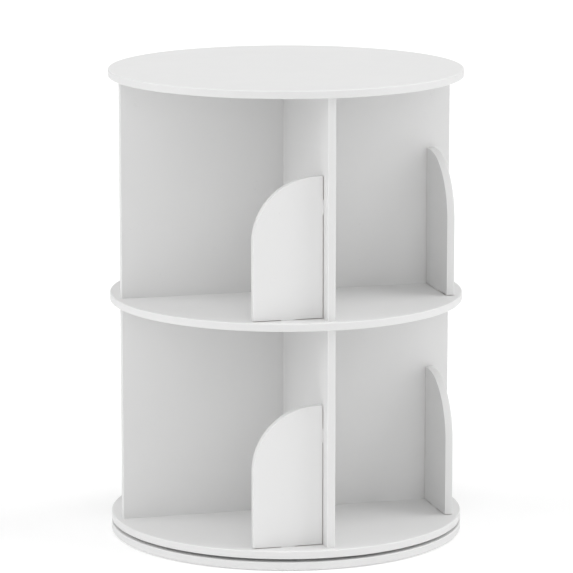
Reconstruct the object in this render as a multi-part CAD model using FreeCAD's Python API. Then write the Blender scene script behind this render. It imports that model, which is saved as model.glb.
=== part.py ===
import FreeCAD, Part
import math
import os

os.makedirs("parts", exist_ok=True)

# Revolving two-tier bookcase. All sizes are in millimetres.
# The origin is on the floor, under the axis of the carousel. +Z is up and -Y is the front.

# Boards
DISC_DIAMETER = 550.0
DISC_BOARD = 12.0
DIVIDER_BOARD = 12.0
STOP_BOARD = 12.0
TIER_CLEAR = 338.0

# Edge bands and the soft edge that they are trimmed to
DISC_BAND = 2.0
DISC_BAND_ROUNDING = 1.5
PANEL_BAND = 1.0
PANEL_BAND_ROUNDING = 0.6
GLUE_LINE = 0.05

# The most of its wall that a rounding may take
ROUNDING_SHARE = 0.9

# Dividers
DIVIDER_SETBACK = 11.0

# Arched stops and the tongues that hold them
STOP_WIDTH = 108.0
STOP_HEIGHT = 215.0
STOP_TOP_FLAT = 10.0
STOP_SETBACK = 25.0
STOP_SHADOW_GAP = 1.0
TONGUE_WIDTH = 22.0
TONGUE_DEPTH = 7.0
SIDE_TONGUE_HEIGHT = 170.0
TONGUE_SIDE_CLEARANCE = 0.1
TONGUE_END_CLEARANCE = 0.5

# Foot pads
PAD_COUNT = 6
PAD_RADIUS = 12.5
PAD_THICKNESS = 1.5
PAD_CIRCLE_RADIUS = 235.0

# Turntable bearing
TURNING_GAP = 5.0
BEARING_RECESS_DEPTH = 4.0
BEARING_RECESS_MARGIN = 1.5
RACE_RADIUS = 112.5
RACE_GAP = 2.0
INNER_RING_WIDTH = 11.5
OUTER_RING_WIDTH = 11.5
RING_STEP = 1.0
BALL_RADIUS = 2.75
BALL_COUNT = 36
BALL_CLEARANCE = 0.1
RETAINER_THICKNESS = 1.0
RETAINER_HEIGHT = 6.5
RETAINER_POCKET_CLEARANCE = 0.2

# Screws of the turntable bearing, countersunk, with a cross recess
RING_SCREW_COUNT = 8
RING_SCREW_RADIUS = 1.75
RING_SCREW_HEAD_RADIUS = 3.2
RING_SCREW_BITE = 6.0
RING_SCREW_RECESS_LENGTH = 3.8
RING_SCREW_RECESS_WIDTH = 0.8
RING_SCREW_RECESS_DEPTH = 1.4
ACCESS_HOLE_RADIUS = 10.0

# Wooden dowels
DOWEL_RADIUS = 3.0
DOWEL_PANEL_DEPTH = 18.0
DOWEL_SHELF_DEPTH = 7.5
DOWEL_PLACE = 70.0
CROSS_DOWEL_COUNT = 3
CROSS_DOWEL_MARGIN = 50.0
DOWEL_END_CLEARANCE = 0.5
HOLE_CLEARANCE = 0.05

# Cam locks, their bolts and their caps
CAM_RADIUS = 7.5
CAM_THICKNESS = 9.0
CAM_SINK = 0.2
CAM_PLACE = 165.0
CAM_SETBACK = 24.0
CAM_HOLLOW_RADIUS = 5.0
CAM_FACE_WALL = 2.6
CAM_SLOT_WIDTH = 7.0
CAM_RECESS_LENGTH = 7.0
CAM_RECESS_WIDTH = 1.2
CAM_RECESS_DEPTH = 1.5
CAM_BOLT_NECK_RADIUS = 2.2
CAM_BOLT_HEAD_RADIUS = 3.2
CAM_BOLT_HEAD_HEIGHT = 2.0
CAM_BOLT_THREAD_RADIUS = 3.0
CAM_BOLT_THREAD_DEPTH = 8.0
CAM_BOLT_CHANNEL_CLEARANCE = 0.4
CAP_RADIUS = 9.0
CAP_THICKNESS = 0.8

# Screws up through the bottom shelf into the lower dividers, with a hexagon socket
SHELF_SCREW_RADIUS = 2.5
SHELF_SCREW_LENGTH = 50.0
SHELF_SCREW_HEAD_RADIUS = 5.0
SHELF_SCREW_HEAD_HEIGHT = 3.5
SHELF_SCREW_PLACE = 200.0
SHELF_SCREW_SOCKET_ACROSS = 4.0
SHELF_SCREW_SOCKET_DEPTH = 2.5

# Heights that follow from the sizes above
DISC_RADIUS = DISC_DIAMETER / 2
BASE_UNDER = PAD_THICKNESS
BASE_TOP = BASE_UNDER + DISC_BOARD
BOTTOM_UNDER = BASE_TOP + TURNING_GAP
LOWER_FLOOR = BOTTOM_UNDER + DISC_BOARD
MIDDLE_UNDER = LOWER_FLOOR + TIER_CLEAR
UPPER_FLOOR = MIDDLE_UNDER + DISC_BOARD
TOP_UNDER = UPPER_FLOOR + TIER_CLEAR

# Radii that follow from the sizes above
BOARD_RADIUS = DISC_RADIUS - DISC_BAND - GLUE_LINE
DIVIDER_REACH = DISC_RADIUS - DIVIDER_SETBACK
DIVIDER_BOARD_REACH = DIVIDER_REACH - PANEL_BAND - GLUE_LINE
STOP_FRONT = DIVIDER_REACH - STOP_SETBACK
STOP_CORNER_RADIUS = STOP_WIDTH - STOP_TOP_FLAT
RECESS_FLOOR = BASE_TOP - BEARING_RECESS_DEPTH
BALL_HEIGHT = RECESS_FLOOR + (BEARING_RECESS_DEPTH + TURNING_GAP) / 2
INNER_RING_OUTSIDE = RACE_RADIUS - RACE_GAP / 2
INNER_RING_BORE = INNER_RING_OUTSIDE - INNER_RING_WIDTH
OUTER_RING_BORE = RACE_RADIUS + RACE_GAP / 2
OUTER_RING_OUTSIDE = OUTER_RING_BORE + OUTER_RING_WIDTH
RING_HEIGHT = BEARING_RECESS_DEPTH + TURNING_GAP - RING_STEP
GROOVE_RADIUS = BALL_RADIUS + BALL_CLEARANCE
INNER_SCREW_CIRCLE = (INNER_RING_BORE + RACE_RADIUS - GROOVE_RADIUS) / 2
OUTER_SCREW_CIRCLE = (OUTER_RING_OUTSIDE + RACE_RADIUS + GROOVE_RADIUS) / 2

# Each tier's name, floor and ceiling
TIERS = (("lower", LOWER_FLOOR, MIDDLE_UNDER), ("upper", UPPER_FLOOR, TOP_UNDER))

# The four arms of each cross, and the four compartments, going round by quarter turns from the front
ARMS = ("front", "right", "back", "left")
COMPARTMENTS = ("front_left", "front_right", "back_right", "back_left")

# The arms whose cam locks open on the face that is on the left when seen from outside.
# So all the locks of the through divider open to the right, and those of the half dividers to the back.
LEFT_FACED_ARMS = (2, 3)

UP = FreeCAD.Vector(0, 0, 1)
ALONG_X = FreeCAD.Vector(1, 0, 0)
ORIGIN = FreeCAD.Vector(0, 0, 0)


def block(x0, x1, y0, y1, z0, z1):
    """A box between two corners."""
    return Part.makeBox(x1 - x0, y1 - y0, z1 - z0, FreeCAD.Vector(x0, y0, z0))


def post(radius, x, y, z0, z1):
    """An upright cylinder."""
    return Part.makeCylinder(radius, z1 - z0, FreeCAD.Vector(x, y, z0), UP)


def peg(radius, x0, x1, y, z):
    """A cylinder that lies along X."""
    return Part.makeCylinder(radius, x1 - x0, FreeCAD.Vector(x0, y, z), ALONG_X)


def ring(outside, bore, z0, z1):
    """A flat ring about the axis of the carousel."""
    return post(outside, 0, 0, z0, z1).cut(post(bore, 0, 0, z0, z1))


def quarter(shape, turns):
    """A copy turned about the axis of the carousel by a number of quarter turns."""
    copy = shape.copy()
    copy.rotate(ORIGIN, UP, 90.0 * turns)
    return copy


def all_round(shape):
    """Four copies, one for each quarter turn."""
    return [quarter(shape, turns) for turns in range(4)]


def on_cam_face(shape, turns):
    """A shape on the front arm's right face, moved to the face of another arm that its cam locks open on."""
    if turns in LEFT_FACED_ARMS:
        shape = shape.mirror(ORIGIN, ALONG_X)
    return quarter(shape, turns)


def around(shape, count, start=0.0):
    """Copies spaced evenly about the axis of the carousel."""
    copies = []
    for number in range(count):
        copy = shape.copy()
        copy.rotate(ORIGIN, UP, start + 360.0 * number / count)
        copies.append(copy)
    return copies


def save(name, solids):
    """Writes one node, as a single solid or as a group of separate ones."""
    shape = solids[0] if len(solids) == 1 else Part.makeCompound(solids)
    shape.exportStep("parts/" + name + ".step")


def outer_rims(shape, radius):
    """The circular edges of a shape that have the given radius."""
    return [
        edge
        for edge in shape.Edges
        if isinstance(edge.Curve, Part.Circle) and abs(edge.Curve.Radius - radius) < 1e-6
    ]


def disc_board(under):
    """A round board without its edge band."""
    return post(BOARD_RADIUS, 0, 0, under, under + DISC_BOARD)


def disc_band(under):
    """The edge band round a disc, with its two outer edges rounded."""
    disc = post(DISC_RADIUS, 0, 0, under, under + DISC_BOARD)
    wall = min(DISC_BAND, DISC_BOARD / 2)
    rounding = min(DISC_BAND_ROUNDING, ROUNDING_SHARE * wall)
    disc = disc.makeFillet(rounding, outer_rims(disc, DISC_RADIUS))
    return disc.cut(post(DISC_RADIUS - DISC_BAND, 0, 0, under, under + DISC_BOARD))


# Tongues of the stops, and the mortises that they enter


def tongue_heights(floor):
    """The lower and upper end of the tongue on a stop's side, for a tier's floor."""
    middle = floor + SIDE_TONGUE_HEIGHT
    return middle - TONGUE_WIDTH / 2, middle + TONGUE_WIDTH / 2


def foot_tongue_places():
    """The two ends along X of the tongue on a stop's foot."""
    middle = -(DIVIDER_BOARD / 2 + STOP_SHADOW_GAP + STOP_WIDTH / 2)
    return middle - TONGUE_WIDTH / 2, middle + TONGUE_WIDTH / 2


def foot_mortise(floor):
    """The pocket in a shelf for the foot tongue of the front left stop."""
    x0, x1 = foot_tongue_places()
    side = TONGUE_SIDE_CLEARANCE
    bottom = floor - TONGUE_DEPTH - TONGUE_END_CLEARANCE
    back = -STOP_FRONT + STOP_BOARD
    return block(x0 - side, x1 + side, -STOP_FRONT - side, back + side, bottom, floor)


def side_mortise(floor):
    """The pocket in the front arm of a cross for the side tongue of the front left stop."""
    z0, z1 = tongue_heights(floor)
    side = TONGUE_SIDE_CLEARANCE
    face = -DIVIDER_BOARD / 2
    inner = face + TONGUE_DEPTH + TONGUE_END_CLEARANCE
    back = -STOP_FRONT + STOP_BOARD
    return block(face, inner, -STOP_FRONT - side, back + side, z0 - side, z1 + side)


# Holes, drawn for the front arm and turned for the others


def dowel_hole(z0, z1):
    """An upright dowel hole on the centre line of the front arm."""
    return post(DOWEL_RADIUS + HOLE_CLEARANCE, 0, -DOWEL_PLACE, z0, z1)


def cam_pocket(height):
    """The round pocket of a cam lock, open on the right face of the front arm."""
    face = DIVIDER_BOARD / 2
    depth = CAM_SINK + CAM_THICKNESS + HOLE_CLEARANCE
    return peg(CAM_RADIUS + HOLE_CLEARANCE, face - depth, face, -CAM_PLACE, height)


def bolt_channel(edge, height):
    """The hole from the edge of a divider to its cam pocket."""
    radius = CAM_BOLT_HEAD_RADIUS + CAM_BOLT_CHANNEL_CLEARANCE
    return post(radius, 0, -CAM_PLACE, min(edge, height), max(edge, height))


def cam_places(tier):
    """Height and side of each cam lock in one arm: side is 1 towards the disc above and -1 below."""
    if tier == "lower":
        return [(MIDDLE_UNDER - CAM_SETBACK, 1)]
    return [(UPPER_FLOOR + CAM_SETBACK, -1), (TOP_UNDER - CAM_SETBACK, 1)]


def shelf_screw_hole():
    """The hole up into a lower divider for its shelf screw."""
    radius = SHELF_SCREW_RADIUS + HOLE_CLEARANCE
    tip = BOTTOM_UNDER + SHELF_SCREW_LENGTH + DOWEL_END_CLEARANCE
    return post(radius, 0, -SHELF_SCREW_PLACE, LOWER_FLOOR, tip)


def arm_cuts(tier, floor, ceiling, turns):
    """Every cut in one arm of a tier's cross."""
    depth = DOWEL_PANEL_DEPTH + DOWEL_END_CLEARANCE
    cuts = [side_mortise(floor), dowel_hole(floor, floor + depth), dowel_hole(ceiling - depth, ceiling)]
    if tier == "lower":
        cuts.append(shelf_screw_hole())
    pockets = []
    for height, side in cam_places(tier):
        cuts.append(bolt_channel(ceiling if side > 0 else floor, height))
        pockets.append(on_cam_face(cam_pocket(height), turns))
    return [quarter(cut, turns) for cut in cuts] + pockets


def cross_dowel_heights(floor, ceiling):
    """Heights of the dowels that pin the half dividers to the through divider."""
    low = floor + CROSS_DOWEL_MARGIN
    step = (ceiling - floor - 2 * CROSS_DOWEL_MARGIN) / (CROSS_DOWEL_COUNT - 1)
    return [low + step * number for number in range(CROSS_DOWEL_COUNT)]


def cross_dowel_reach():
    """How far a cross dowel stands out from the axis on each side."""
    return DIVIDER_BOARD / 2 + DOWEL_PANEL_DEPTH


def cross_dowel_holes(floor, ceiling):
    """Holes for the cross dowels, through all three dividers."""
    reach = cross_dowel_reach() + DOWEL_END_CLEARANCE
    radius = DOWEL_RADIUS + HOLE_CLEARANCE
    return [peg(radius, -reach, reach, 0, z) for z in cross_dowel_heights(floor, ceiling)]


# Boards


def base_disc():
    """The fixed disc on the floor, with the recess and screw holes of the bearing."""
    outside = OUTER_RING_OUTSIDE + BEARING_RECESS_MARGIN
    bore = INNER_RING_BORE - BEARING_RECESS_MARGIN
    cuts = [ring(outside, bore, RECESS_FLOOR, BASE_TOP)]
    hole = ring_screw_hole(INNER_SCREW_CIRCLE, RECESS_FLOOR, -1)
    cuts += around(hole, RING_SCREW_COUNT, 180.0 / RING_SCREW_COUNT)
    cuts.append(post(ACCESS_HOLE_RADIUS, OUTER_SCREW_CIRCLE, 0, BASE_UNDER, BASE_TOP))
    return disc_board(BASE_UNDER).cut(cuts)


def bottom_shelf():
    """The disc that carries the lower tier and turns on the bearing."""
    cuts = all_round(foot_mortise(LOWER_FLOOR))
    cuts += all_round(dowel_hole(LOWER_FLOOR - DOWEL_SHELF_DEPTH - DOWEL_END_CLEARANCE, LOWER_FLOOR))
    cuts += all_round(shelf_screw_body(HOLE_CLEARANCE))
    hole = ring_screw_hole(OUTER_SCREW_CIRCLE, BOTTOM_UNDER, 1)
    cuts += around(hole, RING_SCREW_COUNT)
    return disc_board(BOTTOM_UNDER).cut(cuts)


def middle_shelf():
    """The disc between the tiers, drilled through for dowels and double-ended cam bolts."""
    radius = CAM_BOLT_THREAD_RADIUS + HOLE_CLEARANCE
    cuts = all_round(foot_mortise(UPPER_FLOOR))
    cuts += all_round(dowel_hole(MIDDLE_UNDER, UPPER_FLOOR))
    cuts += all_round(post(radius, 0, -CAM_PLACE, MIDDLE_UNDER, UPPER_FLOOR))
    return disc_board(MIDDLE_UNDER).cut(cuts)


def top_shelf():
    """The top disc, drilled only from below."""
    radius = CAM_BOLT_THREAD_RADIUS + HOLE_CLEARANCE
    bolt_top = TOP_UNDER + CAM_BOLT_THREAD_DEPTH + DOWEL_END_CLEARANCE
    dowel_top = TOP_UNDER + DOWEL_SHELF_DEPTH + DOWEL_END_CLEARANCE
    cuts = all_round(dowel_hole(TOP_UNDER, dowel_top))
    cuts += all_round(post(radius, 0, -CAM_PLACE, TOP_UNDER, bolt_top))
    return disc_board(TOP_UNDER).cut(cuts)


def through_divider(tier, floor, ceiling):
    """The divider that runs from front to back."""
    half = DIVIDER_BOARD / 2
    board = block(-half, half, -DIVIDER_BOARD_REACH, DIVIDER_BOARD_REACH, floor, ceiling)
    cuts = arm_cuts(tier, floor, ceiling, 0) + arm_cuts(tier, floor, ceiling, 2)
    return board.cut(cuts + cross_dowel_holes(floor, ceiling))


def half_divider(tier, floor, ceiling, turns):
    """A divider from the through divider out to one side."""
    half = DIVIDER_BOARD / 2
    board = quarter(block(-half, half, -DIVIDER_BOARD_REACH, -half, floor, ceiling), turns)
    return board.cut(arm_cuts(tier, floor, ceiling, turns) + cross_dowel_holes(floor, ceiling))


def divider_band(floor, ceiling):
    """The edge band on the outer end of the front arm."""
    half = DIVIDER_BOARD / 2
    rounding = min(PANEL_BAND_ROUNDING, ROUNDING_SHARE * PANEL_BAND)
    strip = block(-half, half, -DIVIDER_REACH, -DIVIDER_REACH + 2 * PANEL_BAND, floor, ceiling)
    corners = [
        edge
        for edge in strip.Edges
        if edge.BoundBox.ZLength > edge.BoundBox.XLength + edge.BoundBox.YLength
        and edge.BoundBox.YMax < -DIVIDER_REACH + PANEL_BAND
    ]
    strip = strip.makeFillet(rounding, corners)
    return strip.common(block(-half, half, -DIVIDER_REACH, -DIVIDER_REACH + PANEL_BAND, floor, ceiling))


# Arched stops


def arch_prism(inset, floor):
    """The front left stop's outline, moved in from its free edges by inset, as a solid."""
    inner_x = -(DIVIDER_BOARD / 2 + STOP_SHADOW_GAP)
    outer_x = inner_x - STOP_WIDTH + inset
    foot = floor + STOP_SHADOW_GAP
    top = foot + STOP_HEIGHT - inset
    radius = STOP_CORNER_RADIUS - inset
    centre_x = outer_x + radius
    centre_z = top - radius
    middle = radius * math.sqrt(0.5)

    def point(x, z):
        return FreeCAD.Vector(x, -STOP_FRONT, z)

    arc = Part.Arc(
        point(outer_x, centre_z),
        point(centre_x - middle, centre_z + middle),
        point(centre_x, top),
    )
    edges = [
        Part.LineSegment(point(inner_x, foot), point(outer_x, foot)).toShape(),
        Part.LineSegment(point(outer_x, foot), point(outer_x, centre_z)).toShape(),
        arc.toShape(),
        Part.LineSegment(point(centre_x, top), point(inner_x, top)).toShape(),
        Part.LineSegment(point(inner_x, top), point(inner_x, foot)).toShape(),
    ]
    return Part.Face(Part.Wire(edges)).extrude(FreeCAD.Vector(0, STOP_BOARD, 0))


def stop_panel(floor):
    """The front left stop with its two tongues."""
    x0, x1 = foot_tongue_places()
    z0, z1 = tongue_heights(floor)
    back = -STOP_FRONT + STOP_BOARD
    foot = floor + STOP_SHADOW_GAP
    face = -DIVIDER_BOARD / 2
    foot_tongue = block(x0, x1, -STOP_FRONT, back, floor - TONGUE_DEPTH, foot + TONGUE_DEPTH)
    side_tongue = block(
        face - STOP_SHADOW_GAP - TONGUE_DEPTH, face + TONGUE_DEPTH, -STOP_FRONT, back, z0, z1
    )
    board = arch_prism(PANEL_BAND + GLUE_LINE, floor)
    return board.fuse([foot_tongue, side_tongue]).removeSplitter()


def stop_band(floor):
    """The edge band over the free edges of the front left stop."""
    outer = arch_prism(0, floor)
    inner_x = -(DIVIDER_BOARD / 2 + STOP_SHADOW_GAP)
    foot = floor + STOP_SHADOW_GAP
    rounding = min(PANEL_BAND_ROUNDING, ROUNDING_SHARE * PANEL_BAND)
    free = []
    for edge in outer.Edges:
        middle = edge.CenterOfMass
        flat = edge.BoundBox.YLength < 1e-6
        if flat and middle.x < inner_x - 1e-3 and middle.z > foot + 1e-3:
            free.append(edge)
    return outer.makeFillet(rounding, free).cut(arch_prism(PANEL_BAND, floor))


# Fasteners


def cross_recess(x, z, side):
    """A driver's cross recess in a bearing screw, cut upwards for side 1 and downwards for side -1."""
    z0, z1 = sorted((z, z + side * RING_SCREW_RECESS_DEPTH))
    half = RING_SCREW_RECESS_WIDTH / 2
    reach = RING_SCREW_RECESS_LENGTH / 2
    one = block(x - reach, x + reach, -half, half, z0, z1)
    other = block(x - half, x + half, -reach, reach, z0, z1)
    return one.fuse(other)


def countersink(circle, face, side, clearance):
    """The conical head of a bearing screw, with its flat on face and its point towards side."""
    height = RING_SCREW_HEAD_RADIUS - RING_SCREW_RADIUS
    place = FreeCAD.Vector(circle, 0, face)
    way = FreeCAD.Vector(0, 0, side)
    wide = RING_SCREW_HEAD_RADIUS + clearance
    return Part.makeCone(wide, RING_SCREW_RADIUS + clearance, height, place, way)


def ring_screw_hole(circle, face, side):
    """The hole for a bearing screw in a board."""
    z0, z1 = sorted((face, face + side * (RING_SCREW_BITE + DOWEL_END_CLEARANCE)))
    return post(RING_SCREW_RADIUS + HOLE_CLEARANCE, circle, 0, z0, z1)


def ring_screw(circle, head_face, side):
    """A bearing screw: head in the ring, shank through it and into the board."""
    tip = head_face + side * (RING_HEIGHT + RING_SCREW_BITE)
    z0, z1 = sorted((head_face, tip))
    shank = post(RING_SCREW_RADIUS, circle, 0, z0, z1)
    screw = shank.fuse(countersink(circle, head_face, side, 0)).removeSplitter()
    return screw.cut(cross_recess(circle, head_face, side))


def shelf_screw_body(clearance):
    """A shelf screw's head and shank at the front arm, made larger by clearance."""
    place = FreeCAD.Vector(0, -SHELF_SCREW_PLACE, BOTTOM_UNDER)
    wide = SHELF_SCREW_HEAD_RADIUS + clearance
    shank_radius = SHELF_SCREW_RADIUS + clearance
    head = Part.makeCone(wide, shank_radius, SHELF_SCREW_HEAD_HEIGHT, place, UP)
    tip = BOTTOM_UNDER + SHELF_SCREW_LENGTH
    shank = post(shank_radius, 0, -SHELF_SCREW_PLACE, BOTTOM_UNDER, tip)
    return shank.fuse(head).removeSplitter()


def shelf_screw():
    """A shelf screw with its hexagon socket."""
    corner = SHELF_SCREW_SOCKET_ACROSS / math.sqrt(3)
    points = []
    for number in range(7):
        angle = math.radians(60.0 * number)
        x = corner * math.cos(angle)
        y = corner * math.sin(angle) - SHELF_SCREW_PLACE
        points.append(FreeCAD.Vector(x, y, BOTTOM_UNDER))
    hexagon = Part.Face(Part.makePolygon(points))
    socket = hexagon.extrude(FreeCAD.Vector(0, 0, SHELF_SCREW_SOCKET_DEPTH))
    return shelf_screw_body(0).cut(socket)


def bolt_end(face, side):
    """A cam bolt's neck and head, standing out of a shelf's face towards side."""
    middle = face + side * CAM_SETBACK
    half = CAM_BOLT_HEAD_HEIGHT / 2
    z0, z1 = sorted((face, middle))
    neck = post(CAM_BOLT_NECK_RADIUS, 0, -CAM_PLACE, z0, z1)
    head = post(CAM_BOLT_HEAD_RADIUS, 0, -CAM_PLACE, middle - half, middle + half)
    return [neck, head]


def top_cam_bolt():
    """A cam bolt screwed up into the top shelf."""
    thread_top = TOP_UNDER + CAM_BOLT_THREAD_DEPTH
    thread = post(CAM_BOLT_THREAD_RADIUS, 0, -CAM_PLACE, TOP_UNDER, thread_top)
    return thread.fuse(bolt_end(TOP_UNDER, -1)).removeSplitter()


def double_cam_bolt():
    """A double-ended cam bolt through the middle shelf."""
    shank = post(CAM_BOLT_THREAD_RADIUS, 0, -CAM_PLACE, MIDDLE_UNDER, UPPER_FLOOR)
    ends = bolt_end(MIDDLE_UNDER, -1) + bolt_end(UPPER_FLOOR, 1)
    return shank.fuse(ends).removeSplitter()


def cam_lock(height, side):
    """A cam lock in the front arm, with its entry slot towards the disc on side."""
    outer = DIVIDER_BOARD / 2 - CAM_SINK
    inner = outer - CAM_THICKNESS
    roof = outer - CAM_FACE_WALL
    half_slot = CAM_SLOT_WIDTH / 2
    z0, z1 = sorted((height, height + side * CAM_RADIUS))
    hollow = peg(CAM_HOLLOW_RADIUS, inner, roof, -CAM_PLACE, height)
    slot = block(inner, roof, -CAM_PLACE - half_slot, -CAM_PLACE + half_slot, z0, z1)
    reach = CAM_RECESS_LENGTH / 2
    half = CAM_RECESS_WIDTH / 2
    floor = outer - CAM_RECESS_DEPTH
    flat = block(floor, outer, -CAM_PLACE - reach, -CAM_PLACE + reach, height - half, height + half)
    tall = block(floor, outer, -CAM_PLACE - half, -CAM_PLACE + half, height - reach, height + reach)
    return peg(CAM_RADIUS, inner, outer, -CAM_PLACE, height).cut([hollow, slot, flat, tall])


def cam_cap(height):
    """The flat cap stuck over a cam lock of the front arm."""
    face = DIVIDER_BOARD / 2
    return peg(CAP_RADIUS, face, face + CAP_THICKNESS, -CAM_PLACE, height)


def in_each_arm(shape):
    """Four copies of a cam lock or cap, one in each arm, each on its arm's own face."""
    return [on_cam_face(shape, turns) for turns in range(4)]


def shelf_dowel(z0, z1):
    """An upright dowel of the front arm."""
    return post(DOWEL_RADIUS, 0, -DOWEL_PLACE, z0, z1)


def cross_dowels(floor, ceiling):
    """The dowels that pin the two half dividers to the through divider."""
    reach = cross_dowel_reach()
    return [peg(DOWEL_RADIUS, -reach, reach, 0, z) for z in cross_dowel_heights(floor, ceiling)]


# Turntable bearing


def race_groove():
    """The ring-shaped groove that the balls run in."""
    return Part.makeTorus(RACE_RADIUS, GROOVE_RADIUS, FreeCAD.Vector(0, 0, BALL_HEIGHT), UP)


def bearing_inner_ring():
    """The ring screwed down on the base."""
    top = RECESS_FLOOR + RING_HEIGHT
    body = ring(INNER_RING_OUTSIDE, INNER_RING_BORE, RECESS_FLOOR, top)
    shank = post(RING_SCREW_RADIUS + HOLE_CLEARANCE, INNER_SCREW_CIRCLE, 0, RECESS_FLOOR, top)
    hole = shank.fuse(countersink(INNER_SCREW_CIRCLE, top, -1, HOLE_CLEARANCE))
    return body.cut([race_groove()] + around(hole, RING_SCREW_COUNT, 180.0 / RING_SCREW_COUNT))


def bearing_outer_ring():
    """The ring screwed up to the bottom shelf."""
    under = BOTTOM_UNDER - RING_HEIGHT
    body = ring(OUTER_RING_OUTSIDE, OUTER_RING_BORE, under, BOTTOM_UNDER)
    shank = post(RING_SCREW_RADIUS + HOLE_CLEARANCE, OUTER_SCREW_CIRCLE, 0, under, BOTTOM_UNDER)
    hole = shank.fuse(countersink(OUTER_SCREW_CIRCLE, under, 1, HOLE_CLEARANCE))
    return body.cut([race_groove()] + around(hole, RING_SCREW_COUNT))


def bearing_balls():
    """The balls between the two rings."""
    ball = Part.makeSphere(BALL_RADIUS, FreeCAD.Vector(RACE_RADIUS, 0, BALL_HEIGHT))
    return around(ball, BALL_COUNT)


def ball_retainer():
    """The thin cage that spaces the balls."""
    half = RETAINER_THICKNESS / 2
    low = BALL_HEIGHT - RETAINER_HEIGHT / 2
    band = ring(RACE_RADIUS + half, RACE_RADIUS - half, low, low + RETAINER_HEIGHT)
    radius = BALL_RADIUS + RETAINER_POCKET_CLEARANCE
    pocket = peg(radius, RACE_RADIUS - RACE_GAP, RACE_RADIUS + RACE_GAP, 0, BALL_HEIGHT)
    return band.cut(around(pocket, BALL_COUNT))


def foot_pads():
    """The stick-on pads under the base."""
    pad = post(PAD_RADIUS, 0, -PAD_CIRCLE_RADIUS, 0, PAD_THICKNESS)
    return around(pad, PAD_COUNT)


# The base and the bearing

save("foot_pads", foot_pads())
save("base_disc", [base_disc()])
save("base_edge_band", [disc_band(BASE_UNDER)])
save("bearing_inner_ring", [bearing_inner_ring()])
inner_screw = ring_screw(INNER_SCREW_CIRCLE, RECESS_FLOOR + RING_HEIGHT, -1)
save("inner_ring_screws", around(inner_screw, RING_SCREW_COUNT, 180.0 / RING_SCREW_COUNT))
save("bearing_balls", bearing_balls())
save("ball_retainer", [ball_retainer()])
save("bearing_outer_ring", [bearing_outer_ring()])
outer_screw = ring_screw(OUTER_SCREW_CIRCLE, BOTTOM_UNDER - RING_HEIGHT, 1)
save("outer_ring_screws", around(outer_screw, RING_SCREW_COUNT))

# The three shelves

for shelf_name, shelf_board, shelf_under in (
    ("bottom_shelf", bottom_shelf(), BOTTOM_UNDER),
    ("middle_shelf", middle_shelf(), MIDDLE_UNDER),
    ("top_shelf", top_shelf(), TOP_UNDER),
):
    save(shelf_name, [shelf_board])
    save(shelf_name + "_edge_band", [disc_band(shelf_under)])

# The dividers, stops, dowels and cam locks of each tier

for tier_name, tier_floor, tier_ceiling in TIERS:
    save(tier_name + "_through_divider", [through_divider(tier_name, tier_floor, tier_ceiling)])
    for arm_turns in (1, 3):
        board = half_divider(tier_name, tier_floor, tier_ceiling, arm_turns)
        save(tier_name + "_" + ARMS[arm_turns] + "_half_divider", [board])
    for arm_turns, arm in enumerate(ARMS):
        band = quarter(divider_band(tier_floor, tier_ceiling), arm_turns)
        save(tier_name + "_" + arm + "_divider_band", [band])
    for stop_turns, compartment in enumerate(COMPARTMENTS):
        prefix = tier_name + "_" + compartment
        save(prefix + "_stop", [quarter(stop_panel(tier_floor), stop_turns)])
        save(prefix + "_stop_band", [quarter(stop_band(tier_floor), stop_turns)])
    save(tier_name + "_cross_dowels", cross_dowels(tier_floor, tier_ceiling))
    locks = []
    caps = []
    for lock_height, lock_side in cam_places(tier_name):
        locks += in_each_arm(cam_lock(lock_height, lock_side))
        caps += in_each_arm(cam_cap(lock_height))
    save(tier_name + "_cam_locks", locks)
    save(tier_name + "_cam_caps", caps)

# The fixings between the discs and the dividers

save("top_cam_bolts", all_round(top_cam_bolt()))
save("double_cam_bolts", all_round(double_cam_bolt()))
save("shelf_screws", all_round(shelf_screw()))
bottom_dowel = shelf_dowel(LOWER_FLOOR - DOWEL_SHELF_DEPTH, LOWER_FLOOR + DOWEL_PANEL_DEPTH)
save("bottom_shelf_dowels", all_round(bottom_dowel))
middle_dowel = shelf_dowel(MIDDLE_UNDER - DOWEL_PANEL_DEPTH, UPPER_FLOOR + DOWEL_PANEL_DEPTH)
save("middle_shelf_dowels", all_round(middle_dowel))
top_dowel = shelf_dowel(TOP_UNDER - DOWEL_PANEL_DEPTH, TOP_UNDER + DOWEL_SHELF_DEPTH)
save("top_shelf_dowels", all_round(top_dowel))
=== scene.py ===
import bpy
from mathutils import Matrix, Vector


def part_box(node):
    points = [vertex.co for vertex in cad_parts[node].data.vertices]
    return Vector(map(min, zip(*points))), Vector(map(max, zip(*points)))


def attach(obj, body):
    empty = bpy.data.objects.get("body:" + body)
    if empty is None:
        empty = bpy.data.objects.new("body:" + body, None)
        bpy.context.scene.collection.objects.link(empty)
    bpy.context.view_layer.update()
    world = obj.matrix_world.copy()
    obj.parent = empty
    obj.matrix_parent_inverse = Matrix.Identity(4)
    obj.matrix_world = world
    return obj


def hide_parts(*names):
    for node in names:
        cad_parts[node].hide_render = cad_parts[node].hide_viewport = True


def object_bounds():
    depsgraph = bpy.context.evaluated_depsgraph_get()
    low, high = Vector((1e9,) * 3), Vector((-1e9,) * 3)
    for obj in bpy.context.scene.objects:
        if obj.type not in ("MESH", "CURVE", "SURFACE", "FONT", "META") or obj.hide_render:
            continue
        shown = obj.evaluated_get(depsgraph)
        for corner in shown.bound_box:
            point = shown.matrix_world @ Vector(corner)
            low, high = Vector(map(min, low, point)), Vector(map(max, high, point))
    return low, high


bl_info = {
    "name": "Revolving Bookcase",
    "version": (1, 0, 0),
    "blender": (4, 5, 0),
    "location": "View3D > Sidebar > Bookcase",
    "description": "Dresses a round two-tier revolving bookcase in laminate, edging and small fittings",
    "category": "Add Mesh",
}

import math

import bmesh
import bpy
from bpy.props import FloatProperty, FloatVectorProperty, IntProperty, PointerProperty
from mathutils import Vector

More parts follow.
